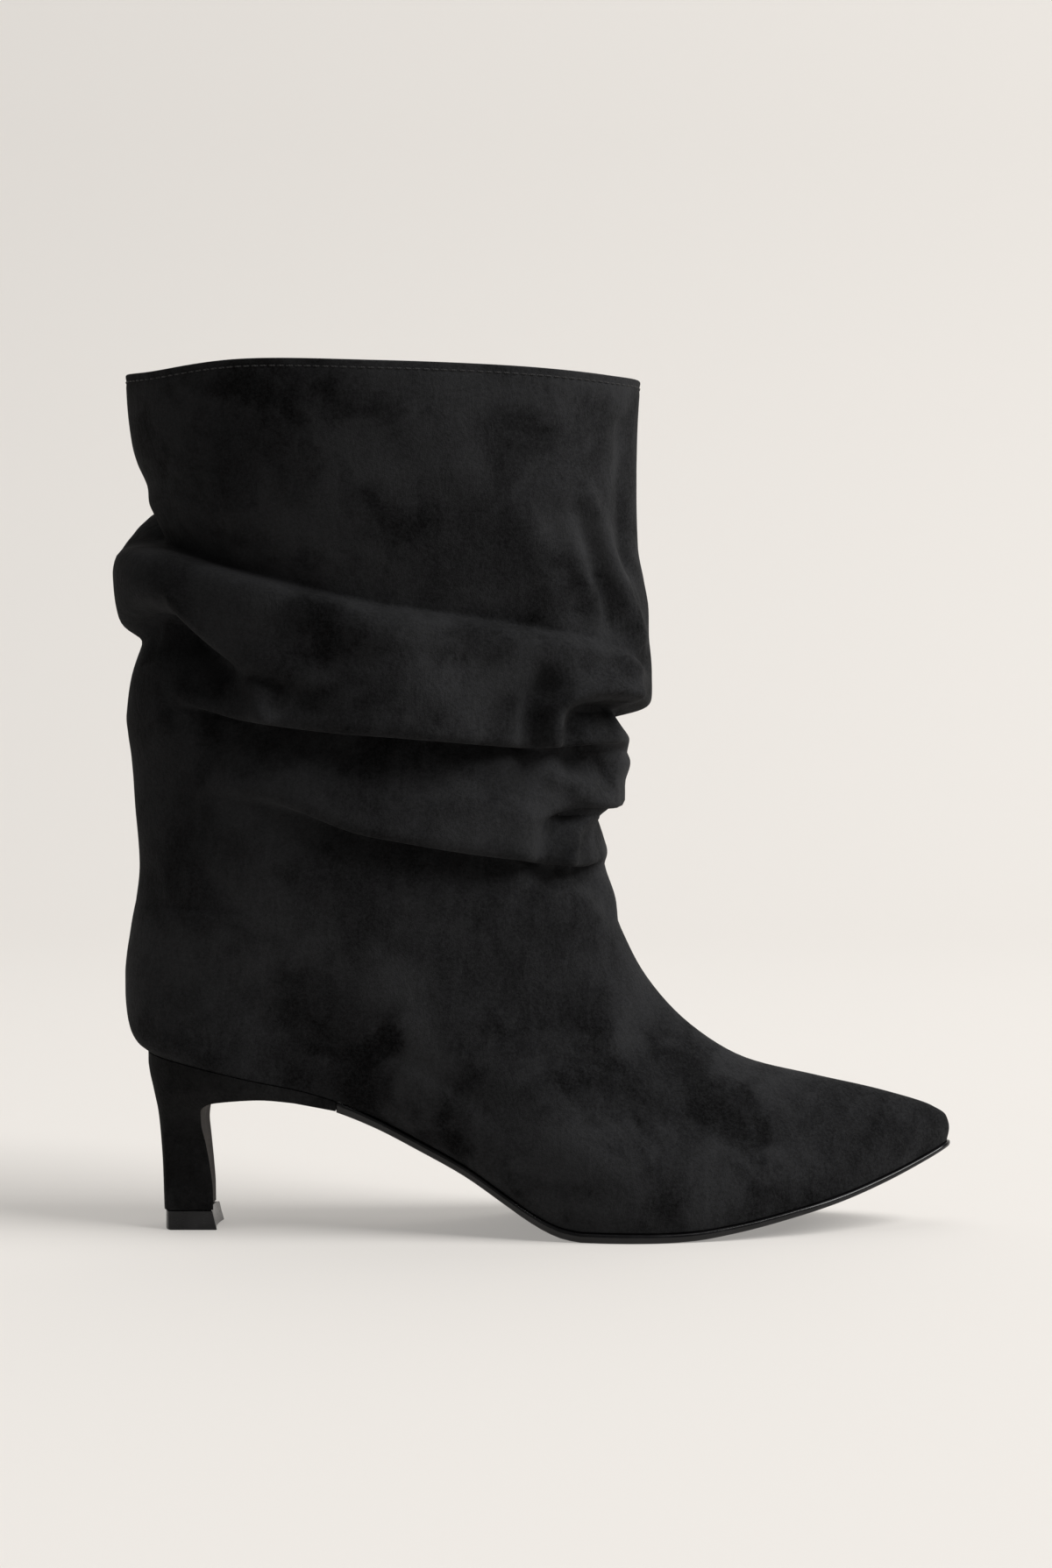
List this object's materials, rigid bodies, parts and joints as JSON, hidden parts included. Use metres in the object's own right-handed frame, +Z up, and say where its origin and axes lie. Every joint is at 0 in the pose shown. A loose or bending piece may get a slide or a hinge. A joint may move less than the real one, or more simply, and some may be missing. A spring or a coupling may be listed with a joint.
{
  "type": "slouch boot",
  "caption": "Black suede ankle boot with a slouched, folded shaft, a pointed toe, a thin glossy sole and a slim covered block heel with a glossy tip.",
  "frame": {"origin": "centre of the heel tip's bottom face, on the floor", "axes": "+X towards the toe, +Y towards the inner side of the foot, +Z up"},
  "size_m": [0.2598, 0.0929, 0.263],
  "materials": {
    "upper": "black brushed suede with a soft mottled nap",
    "insole": "smooth dark sock lining",
    "outsole": "glossy black edge with a finely grained tread face",
    "heel": "suede covered block, smoother on the breast",
    "heel_tip": "glossy black top piece"
  },
  "bodies": {
    "root": {"upper": "upper", "insole": "insole", "outsole": "outsole", "heel": "heel", "heel_tip": "heel_tip"}
  },
  "joints": []
}
